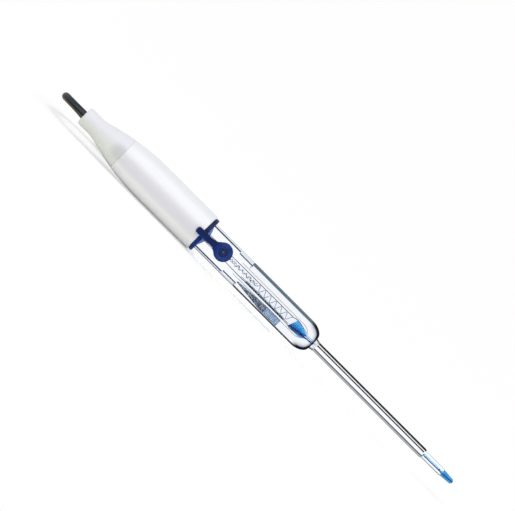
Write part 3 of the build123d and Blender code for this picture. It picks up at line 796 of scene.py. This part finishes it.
@dataclass
class Glassware:
    """The glass parts below the sleeve, turned as nested walls that never share a face.

    An outline is a row of stations and radii. One that ends in _outside is the outside of a tube,
    whose bore follows it a wall further in. The bottom's two radii are at its start and at the neck.
    """

    spigot: Outline = ((15.2, 4.7), (15.2, 5.18), (21.54, 5.18), (21.54, 5.8), (21.74, 6.0))
    bottom_start: float = 52.0
    bottom_length: float = 5.97
    bottom_outside: tuple[float, float] = (6.0, 2.35)
    bottom_bore: tuple[float, float] = (5.25, 1.85)
    bottom_wall: float = 0.55
    bottom_steps: int = 14
    neck: Outline = ((58.77, 2.2), (59.57, 2.1), (59.57, 1.7))
    shoulder_bore: Outline = ((22.44, 5.25), (21.84, 4.7))
    inner_outside: Outline = (
        (-11.95, 1.67), (12.0, 1.67), (20.0, 1.85), (46.0, 1.85), (47.4, 2.28), (49.0, 2.2),
        (51.2, 1.75), (53.0, 1.25), (54.2, 0.85), (55.2, 0.72), (59.5, 0.7),
    )
    inner_wall: float = 0.28
    inner_bore: float = 0.5
    middle_outside: Outline = (
        (18.5, 2.8), (50.6, 2.8), (51.6, 2.68), (52.5, 2.4), (53.2, 1.9), (53.8, 1.3), (54.1, 1.0),
    )
    middle_wall: float = 0.25
    middle_bore: float = 0.88
    middle_seal: float = 0.12
    stem_outline: Outline = (
        (59.6, 1.25), (59.6, 1.92), (60.0, 2.0), (115.1, 2.0), (115.7, 1.88), (116.0, 1.5), (116.0, 1.25),
    )
    tip_outline: Outline = (
        (113.0, 0.75), (113.0, 1.2), (116.03, 1.2), (116.03, 1.55),
        (125.2, 1.55), (125.5, 1.43), (125.5, 0.9), (124.6, 0.75),
    )
    thin_steps: int = 48

    def bottom(self, wide: float, narrow: float) -> list[tuple[float, float]]:
        """Outline of the round bottom, from the straight wall down to the neck."""
        points = []
        for index in range(self.bottom_steps + 1):
            angle = math.pi / 2 * index / self.bottom_steps
            points.append((self.bottom_start + self.bottom_length * math.sin(angle),
                           narrow + (wide - narrow) * math.cos(angle)))
        return points

    def body(self) -> bpy.types.Object:
        """Turn the body with its spigot, round bottom and neck."""
        outside = self.bottom(*self.bottom_outside)
        inside = [(at - self.bottom_wall, radius) for at, radius in reversed(self.bottom(*self.bottom_bore))]
        outline = [*self.spigot, *outside, *self.neck, *inside, *self.shoulder_bore]
        wall, bore, neck, spigot = range(4)
        zones = [bore] * 3 + [wall] * (2 + len(outside)) + [neck] * 2
        zones += [bore] * (len(outline) - len(zones) - 1) + [spigot]
        return Form.lathe("body_glass", outline, zones)

    @staticmethod
    def tube(name: str, outside: Outline, wall: float, least: float, seal: float = 0.0) -> bpy.types.Object:
        """Turn a tube from its outside.

        Args:
            name: The piece's name.
            outside: Stations and radii of the outside.
            wall: Thickness of the wall.
            least: The bore's radius where the wall would leave less.
            seal: Thickness of the closed end.

        Returns:
            The piece, with its outside in slot 0 and its bore in slot 1.
        """
        bore = [(at - seal, max(radius - wall, least)) for at, radius in reversed(outside)]
        bore[-1] = (outside[0][0], bore[-1][1])
        zones = [0] * (len(outside) - 1) + [1] * (len(outside) + 1)
        return Form.lathe(name, (*outside, *bore), zones)

    def build(self, finisher: Finisher) -> None:
        body = finisher.dress(self.body(), BODY_GLASS, BORE_GLASS, NECK_GLASS, SPIGOT_GLASS)
        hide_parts("glass_body")
        tube = self.tube("inner_glass", self.inner_outside, self.inner_wall, self.inner_bore)
        finisher.dress(tube, INNER_GLASS, BORE_GLASS)
        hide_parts("inner_tube")
        sheath = self.tube("middle_glass", self.middle_outside, self.middle_wall, self.middle_bore,
                           self.middle_seal)
        finisher.dress(sheath, MIDDLE_GLASS, BORE_GLASS)
        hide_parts("middle_tube")
        # As on the tubes, slot 0 is the outside, and slot 1 the bore and the cut ends
        stem = Form.lathe("stem_glass", self.stem_outline, [1, 0, 0, 0, 0, 1, 1], self.thin_steps)
        finisher.dress(stem, STEM_GLASS, BORE_GLASS)
        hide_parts("stem_tube")
        tip = Form.lathe("tip_glass_tube", self.tip_outline, [1, 1, 0, 0, 0, 1, 1, 1], self.thin_steps)
        finisher.dress(tip, TIP_GLASS, BORE_GLASS)
        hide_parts("tip_glass")


@dataclass
class InnerWorks:
    """Wires, gel and coated rod inside the glass.

    A line's points are station, depth and height. A section is the station and height of its top,
    the station and height of its bottom, and its half width. Two wires are twisted about each other
    before the first is wound: a turn, and the swell of the first one's radius, take so many points.
    """

    lead_radius: float = 0.11
    lead_run: tuple[Point, ...] = ((-11.95, 0.0, 1.05), (4.0, 0.0, 0.95), (13.0, 0.0, 0.8))
    twist_start: float = 14.0
    twist_step: float = 0.26
    twist_points: int = 56
    twist_turn: int = 8
    twist_swell: int = 28
    twist_radius: tuple[float, float] = (0.3, 0.45)
    twist_height: float = 0.35
    second_points: int = 54
    second_turn: int = 7
    second_radius: tuple[float, float] = (0.5, 0.55)
    second_height: float = 0.45
    coil_pitch: float = 2.8
    coil_radius: float = 1.08
    coil_height: float = 0.36
    coil_start: float = 28.9
    coil_end: float = 45.7
    coil_turn: int = 12
    rod_height: float = -1.25
    rod_profile: Outline = (
        (21.5, 0.10), (24.0, 0.12), (24.3, 0.36), (24.7, 0.42),
        (43.3, 0.42), (43.7, 0.34), (44.0, 0.14), (46.4, 0.1),
    )
    gel: tuple[Section, ...] = (
        (48.0, 2.0, 46.7, -1.62, 1.7), (48.7, 1.93, 47.7, -1.45, 1.62), (49.8, 1.74, 49.2, -1.16, 1.45),
        (51.2, 1.46, 50.8, -0.84, 1.15), (52.5, 1.08, 52.3, -0.66, 0.85), (53.5, 0.74, 53.4, -0.5, 0.6),
        (54.2, 0.5, 54.2, -0.2, 0.4),
    )
    capillary: tuple[Section, ...] = (
        (54.15, 0.52, 54.15, -0.1, 0.32), (55.5, 0.46, 55.5, -0.14, 0.3), (57.5, 0.42, 57.5, 0.0, 0.24),
        (59.55, 0.36, 59.55, 0.02, 0.2),
    )
    pale_side: tuple[Section, ...] = (
        (47.0, -1.27, 47.0, -1.82, 0.1), (49.0, -1.03, 49.0, -2.02, 0.5), (50.8, -0.79, 50.8, -2.14, 0.75),
        (52.2, -0.61, 52.2, -2.12, 0.7), (53.3, -0.47, 53.3, -1.62, 0.5), (54.4, -0.31, 54.4, -1.05, 0.25),
        (55.2, -0.19, 55.2, -0.74, 0.1),
    )
    pale_depth: float = -0.1
    seam: tuple[Point, ...] = (
        (46.7, -0.8, -1.60), (50.5, -1.1, -1.06), (54.0, -0.75, -0.6), (58.2, -0.4, -0.15),
    )
    seam_radius: float = 0.19
    stem_run: tuple[Point, ...] = ((59.65, 0.0, 0.6), (86.0, 0.0, 0.62), (115.4, 0.0, 0.6))
    stem_wire_radius: float = 0.25
    tip_profile: Outline = (
        (115.7, 0.45), (116.2, 0.5), (124.7, 0.5), (125.4, 0.75), (125.7, 0.95), (130.2, 0.7), (130.4, 0.4),
    )
    tip_run: tuple[Point, ...] = (
        (116.3, -0.56, -0.4), (120.0, -0.6, -0.3), (123.9, -0.62, -0.2), (125.2, -0.66, -0.12),
    )
    tip_line_radius: float = 0.15
    membrane_run: tuple[Point, ...] = ((125.55, -1.38, -0.12), (128.0, -1.27, 0.06), (130.3, -1.02, 0.22))
    membrane_line_radius: float = 0.16

    def lead_points(self) -> list[Point]:
        """Run of the silver wire: straight, then loosely twisted, then wound."""
        points = list(self.lead_run)
        least, swell = self.twist_radius
        for index in range(1, self.twist_points + 1):
            angle = math.tau * index / self.twist_turn
            radius = least + swell * (0.5 - 0.5 * math.cos(math.tau * index / self.twist_swell))
            points.append((self.twist_start + index * self.twist_step, radius * math.sin(angle),
                           self.twist_height + radius * math.cos(angle)))
        turns = (self.coil_end - self.coil_start) / self.coil_pitch
        for index in range(round(turns * self.coil_turn) + 1):
            angle = math.tau * index / self.coil_turn
            points.append((self.coil_start + self.coil_pitch * index / self.coil_turn,
                           self.coil_radius * math.sin(angle),
                           self.coil_height + self.coil_radius * math.cos(angle)))
        return points

    def second_twist(self) -> list[Point]:
        """Run of the second wire, twisted about the first."""
        depth, rise = self.second_radius
        points = []
        for index in range(self.second_points):
            angle = math.tau * index / self.second_turn
            points.append((self.twist_start + index * self.twist_step, -depth * math.sin(angle),
                           self.second_height - rise * math.cos(angle)))
        return points

    def wires(self, finisher: Finisher) -> None:
        lead = finisher.dress(Form.wire("lead_wire", self.lead_points(), self.lead_radius), SILVER)
        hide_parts("lead_coil", "inner_lead")
        finisher.dress(Form.wire("lead_twist", self.second_twist(), self.lead_radius), SILVER)
        rod = Form.loft("reference_rod", Form.round_sections(self.rod_profile, self.rod_height), steps=20)
        finisher.dress(rod, REFERENCE_ROD)
        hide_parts("reference_wire")

    def filling(self, finisher: Finisher) -> None:
        gel = finisher.dress(Form.loft("gel_cone", self.gel), BLUE_GEL)
        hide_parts("gel_column")
        finisher.dress(Form.loft("capillary_core", self.capillary, steps=16), CAPILLARY_GEL)
        finisher.dress(Form.loft("gel_pale_side", self.pale_side, depth=self.pale_depth, steps=20), PALE_GEL)
        finisher.dress(Form.wire("gel_seam_line", self.seam, self.seam_radius), NAVY_LINE)

    def stem_and_tip(self, finisher: Finisher) -> None:
        """Make and dress what the stem and the tip hold."""
        stem_wire = finisher.dress(Form.wire("stem_wire", self.stem_run, self.stem_wire_radius), DARK_WIRE)
        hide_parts("tip_wire")
        core = Form.loft("tip_core", Form.round_sections(self.tip_profile), steps=24)
        finisher.dress(core, CAPILLARY_GEL)
        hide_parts("tip_gel")
        finisher.dress(Form.wire("tip_line", self.tip_run, self.tip_line_radius), NAVY_LINE)
        finisher.dress(Form.wire("membrane_line", self.membrane_run, self.membrane_line_radius), NAVY_LINE)

    def build(self, finisher: Finisher) -> None:
        """Make all inner pieces."""
        self.wires(finisher)
        self.filling(finisher)
        self.stem_and_tip(finisher)


@dataclass
class Closure:
    """One soft blue moulding: ring, tab, strap and plug head with its peg.

    A strap section is its station, its distance from the axis, thickness, width and height. The
    head's outline, from the peg's end to the dot in its dimple, is distances from the axis and radii.
    """

    ring_inner: float = 6.03
    ring_outer: float = 7.6
    ring_start: float = 0.08
    ring_end: float = 1.65
    ring_steps: int = 96
    rounding: float = 0.45
    rounding_steps: int = 6
    strap_sections: tuple[Section, ...] = (
        (-2.38, 8.55, 0.4, 1.2, 0.7), (-2.2, 8.6, 0.7, 1.9, 0.7), (-1.8, 8.62, 0.8, 2.5, 0.7),
        (0.0, 8.62, 0.8, 2.7, 0.7), (0.6, 8.3, 1.5, 2.7, 0.7), (1.5, 8.0, 1.5, 2.7, 0.68),
        (2.2, 7.95, 0.95, 2.65, 0.67), (3.5, 7.9, 0.9, 2.6, 0.65), (5.0, 7.8, 0.9, 2.6, 0.75),
        (6.2, 7.7, 0.95, 2.9, 0.9), (6.8, 7.6, 1.1, 3.4, 0.95), (7.3, 7.5, 1.3, 4.3, 1.0),
        (8.0, 7.45, 1.4, 5.1, 1.05),
    )
    strap_steps: int = 24
    strap_roundness: float = 0.45
    hub: tuple[float, float] = (10.6, 1.05)
    head_outline: Outline = (
        (4.8, 0.0), (4.8, 1.03), (5.15, 1.38), (6.3, 1.38), (6.3, 3.35), (6.6, 3.65), (7.9, 3.65),
        (8.2, 3.53), (8.35, 3.3), (8.4, 2.95), (8.4, 2.25), (8.1, 1.95), (8.1, 0.42), (8.2, 0.34), (8.25, 0.0),
    )
    head_steps: int = 64

    def ring(self, shape: bmesh.types.BMesh) -> None:
        """Turn the ring with rounded edges."""
        start, end, bend = self.ring_start, self.ring_end, self.rounding
        shelf = self.ring_outer - bend
        turns = [math.pi / 2 * index / self.rounding_steps for index in range(self.rounding_steps + 1)]
        near = [(start + bend - bend * math.cos(a), shelf + bend * math.sin(a)) for a in turns]
        far = [(end - bend + bend * math.sin(a), shelf + bend * math.cos(a)) for a in turns]
        outline = [(start, self.ring_inner), *near, *far, (end, self.ring_inner)]
        Form.turned(shape, outline, steps=self.ring_steps)

    def strap(self, shape: bmesh.types.BMesh) -> None:
        """Run the strap from its tab on the cap to the head, flaring where it meets the head."""
        rings = []
        for along, out, thick, wide, height in self.strap_sections:
            ring = []
            for angle in full_turn(self.strap_steps):
                level, steep = math.cos(angle), math.sin(angle)
                across = math.copysign(abs(level) ** self.strap_roundness, level) * wide / 2
                depth = math.copysign(abs(steep) ** self.strap_roundness, steep) * thick / 2
                ring.append(station(along, -out - depth, height + across))
            rings.append(ring)
        Form.rings(shape, rings, closed=False)

    def head(self, shape: bmesh.types.BMesh) -> None:
        """Turn the head about its own axis, with its dimple, dot and peg."""
        # The dimple's floor, slope and dot take copies of the one blue rubber in painted shade and painted
        # light.
        rubber, floor, slope, dot, face = range(5)
        zones = [rubber] * 3 + [face] * 7 + [slope, floor, dot, dot]
        at, height = self.hub

        def place(out: float, across: float, up: float) -> Vector:
            """Give a point by the head's own axis, which runs out of the sleeve."""
            return station(at + across, -out, height + up)

        Form.turned(shape, self.head_outline, zones, self.head_steps, place)

    def build(self, finisher: Finisher) -> None:
        """Make the moulding in place of the ring and strap nodes."""
        shape = bmesh.new()
        self.ring(shape)
        self.strap(shape)
        self.head(shape)
        piece = Form.finished("closure_moulding", shape)
        for finish in (CLOSURE, DIMPLE, DIMPLE_SLOPE, CLOSURE_DOT, HEAD):
            piece.data.materials.append(finisher.of(finish))
        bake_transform(piece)
        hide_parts("closure_ring", "closure_strap")
        log.info("piece closure_moulding: %s", CLOSURE.name)


@dataclass
class CableRun:
    """The cable: straight out of the boot, down behind it, coiled behind the cap, on to its plug."""

    diameter: float = 3.1
    length: float = 1000.0
    coil_centre: tuple[float, float] = (-59.1, 50.5)
    coil_radii: tuple[float, float, float] = (20.1, 17.0, 13.9)
    layer_heights: tuple[float, float, float] = (1.95, 5.05, 8.15)
    points_per_turn: int = 16
    lane_change: float = 0.25
    entry_angle: float = -90.0
    exit_angle: float = 165.0
    exit_point: Point = (-96.2, 0.0, 8.2)
    lead_route: Sequence[Point] = (
        (-94.2, 0.0, 8.2), (-97.85, 0.0, 8.2), (-101.28, 1.25, 8.1), (-104.08, 3.6, 7.9),
        (-105.9, 6.76, 7.65), (-106.53, 10.38, 7.3), (-106.3, 16.9, 6.75), (-105.35, 22.3, 6.2),
        (-102.9, 26.2, 5.8), (-99.2, 28.9, 5.35), (-94.8, 30.15, 4.75), (-88.3, 30.5, 3.6),
        (-81.4, 30.5, 2.45), (-74.3, 30.4, 1.95), (-66.5, 30.4, 1.97),
    )
    tail_route: Sequence[Point] = (
        (-82.75, 44.6, 8.05), (-85.2, 36.5, 7.85), (-86.56, 30.13, 7.6), (-86.42, 26.03, 7.45),
        (-84.75, 22.28, 7.35), (-81.8, 19.44, 7.3), (-78.0, 17.9, 7.3), (-73.5, 17.9, 7.3),
    )

    def coil_turns(self) -> list[Point]:
        """Work out the coil's points: inwards, outwards, and out again, one layer each.

        Returns:
            Points in millimetres, from where the lead comes in to where the tail leaves.
        """
        outer, middle, inner = self.coil_radii
        low, mid, high = self.layer_heights
        turns = [
            (outer, low), (middle, low), (inner, low),
            (inner, mid), (middle, mid), (outer, mid),
            (middle, high), (outer, high),
        ]
        step = 360 / self.points_per_turn
        start = self.entry_angle
        total = 360 * (len(turns) - 1) + (self.exit_angle - start) % 360
        count = round(total / step)
        # The curve runs inside its control points, by as much as a quadratic spline does on a circle
        pull_in = (6 + 2 * math.cos(math.radians(step))) / 8
        points = []
        for index in range(count + 1):
            turned_by = total * index / count
            place = turned_by / 360
            whole = min(int(place), len(turns) - 1)
            share = max(0.0, (place - whole - 1 + self.lane_change) / self.lane_change)
            following = turns[min(whole + 1, len(turns) - 1)]
            radius = turns[whole][0] + (following[0] - turns[whole][0]) * share
            height = turns[whole][1] + (following[1] - turns[whole][1]) * share
            angle = math.radians(start + turned_by)
            reach = radius / pull_in
            x = self.coil_centre[0] + reach * math.cos(angle)
            y = self.coil_centre[1] + reach * math.sin(angle)
            points.append((x, y, height))
        return points

    def curve(self) -> bpy.types.Object:
        """Make the cable as one smooth curve with a round section."""
        points = [*self.lead_route, *self.coil_turns(), *self.tail_route]
        places = [tuple(value * MM for value in place) for place in points]
        return Form.curve("cable", places, self.diameter * MM / 2, steps=6, roundness=5)

    def build(self, finisher: Finisher) -> None:
        """Args:
            finisher: Source of materials.
        """
        cable = self.curve()
        cable.data.materials.append(finisher.of(JACKET))
        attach(cable, Body.ELECTRODE.value)
        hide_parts("cable_lead", "cable_coil", "cable_tail")
        tuple(value * MM for value in self.exit_point)
        log.info("cable: one curve with %d points", len(cable.data.splines[0].points))


@dataclass
class PhotoCamera:
    """Long lens from the plug's side, a little above the surface, rolled by 45 degrees."""

    photo_width: float = 515.0
    photo_height: float = 511.0
    mm_per_pixel: float = 0.370
    axis_angle: float = 45.0
    axis_start: tuple[float, float] = (66.5, 97.0)
    cap_end_along: float = 192.0
    elevation: float = 5.0
    distance: float = 1900.0
    sensor: float = 36.0
    clip: tuple[float, float] = (0.05, 50.0)

    def aim(self) -> Vector:
        """Point of the frame behind the photograph's middle."""
        along = math.radians(self.axis_angle)
        dx = self.photo_width / 2 - self.axis_start[0]
        dy = self.photo_height / 2 - self.axis_start[1]
        run = dx * math.cos(along) + dy * math.sin(along)
        drop = dy * math.cos(along) - dx * math.sin(along)
        rise = math.radians(self.elevation)
        x = (run - self.cap_end_along) * self.mm_per_pixel
        up = -drop * self.mm_per_pixel
        return station(x, up * math.sin(rise), up * math.cos(rise))

    def build(self) -> None:
        """Make the camera and make it the scene's."""
        rise = math.radians(self.elevation)
        roll = math.radians(self.axis_angle)
        forward = Vector((0.0, math.cos(rise), -math.sin(rise)))
        level = Vector((1.0, 0.0, 0.0))
        above = level.cross(forward)
        right = level * math.cos(roll) + above * math.sin(roll)
        up = above * math.cos(roll) - level * math.sin(roll)
        data = bpy.data.cameras.new("photo camera")
        data.sensor_width = self.sensor
        data.lens = self.sensor * self.distance / (self.photo_width * self.mm_per_pixel)
        data.clip_start, data.clip_end = self.clip
        camera = placed("photo camera", data)
        place = Matrix((right, up, -forward)).transposed().to_4x4()
        place.translation = self.aim() - forward * self.distance * MM
        camera.matrix_world = place
        bpy.context.scene.camera = camera
        log.info("camera at %s", tuple(round(v, 3) for v in place.translation))


@dataclass
class Lamp:
    """One square softbox, placed in metres."""

    name: str
    place: Point
    target: Point
    size: float
    watts: float

    def build(self) -> None:
        """Hang the softbox so that it faces its target."""
        data = bpy.data.lights.new(self.name, "AREA")
        data.shape = "SQUARE"
        data.size = self.size
        data.energy = self.watts
        light = placed(self.name, data)
        light.location = self.place
        aim = Vector(self.target) - Vector(self.place)
        light.rotation_euler = aim.to_track_quat("-Z", "Y").to_euler()


@dataclass
class Studio:
    """White floor, white surroundings and soft lamps, placed in metres."""

    floor_reach: float = 12.0
    floor_drop: float = 0.0002
    floor_white: float = 0.95
    floor_glow: float = 0.6
    surround: float = 0.52
    sun: float = 1.8
    sun_angle: float = 50.0
    sun_tilt: tuple[float, float] = (28.0, -6.0)
    lamps: tuple[Lamp, ...] = (Lamp("overhead softbox", (0.0, -0.25, 0.9), (0.0, 0.0, 0.0), 0.25, 0.3),)
    glass_bounces: int = 24
    clear_bounces: int = 32

    def floor(self) -> None:
        """Lay a wide pale floor that looks white and keeps the object's shadow."""
        mesh = bpy.data.meshes.new("studio floor")
        form = bmesh.new()
        bmesh.ops.create_grid(form, x_segments=1, y_segments=1, size=self.floor_reach)
        form.to_mesh(mesh)
        form.free()
        ground = placed("studio_floor", mesh)
        ground.location.z = -self.floor_drop
        nodes = Nodes(bpy.data.materials.new("studio floor white"))
        shader = nodes.principled(Roughness=0.9, Specular_IOR_Level=0.0)
        nodes.feed((self.floor_white,) * 3, shader.inputs["Base Color"])
        glow = nodes.add("Emission")
        nodes.feed(WHITE, glow.inputs["Color"])
        mix = nodes.add("MixShader")
        nodes.link(nodes.math("MULTIPLY", nodes.seen(), self.floor_glow), mix.inputs["Fac"])
        nodes.link(shader.outputs["BSDF"], mix.inputs[1])
        nodes.link(glow.outputs["Emission"], mix.inputs[2])
        nodes.link(mix.outputs["Shader"], nodes.output.inputs["Surface"])
        mesh.materials.append(nodes.owner)

    def sky(self) -> None:
        """White for what the camera, gloss and glass see, softer for what lights the object."""
        world = bpy.data.worlds.new("studio surround")
        bpy.context.scene.world = world
        nodes = Nodes(world)
        back = nodes.add("Background")
        nodes.feed(WHITE, back.inputs["Color"])
        strength = nodes.between(nodes.seen(), 0.0, 1.0)
        strength.node.inputs["To Min"].default_value = self.surround
        nodes.link(strength, back.inputs["Strength"])
        nodes.link(back.outputs["Background"], nodes.output.inputs["Surface"])

    def sunlight(self) -> None:
        """Add a broad, soft sun."""
        data = bpy.data.lights.new("broad sun", "SUN")
        data.energy = self.sun
        data.angle = math.radians(self.sun_angle)
        sun = placed("broad sun", data)
        sun.rotation_euler = (*(math.radians(tilt) for tilt in self.sun_tilt), 0.0)

    def build(self) -> None:
        """Make the floor, the surroundings and the lamps, and let light through the glass."""
        self.floor()
        self.sky()
        for lamp in self.lamps:
            lamp.build()
        self.sunlight()
        cycles = bpy.context.scene.cycles
        cycles.max_bounces = self.glass_bounces
        cycles.transmission_bounces = self.glass_bounces
        cycles.transparent_max_bounces = self.clear_bounces
        bpy.context.scene.view_settings.view_transform = "Standard"
        log.info("studio: %d lamps", len(self.lamps))


def main() -> None:
    """Build every sub-assembly in order."""
    logging.basicConfig(level=logging.INFO, format="%(name)s: %(message)s")
    finisher = Finisher()
    finisher.dress_nodes()
    Glassware().build(finisher)
    InnerWorks().build(finisher)
    Closure().build(finisher)
    CableRun().build(finisher)
    PhotoCamera().build()
    Studio().build()


if __name__ == "__main__":
    main()
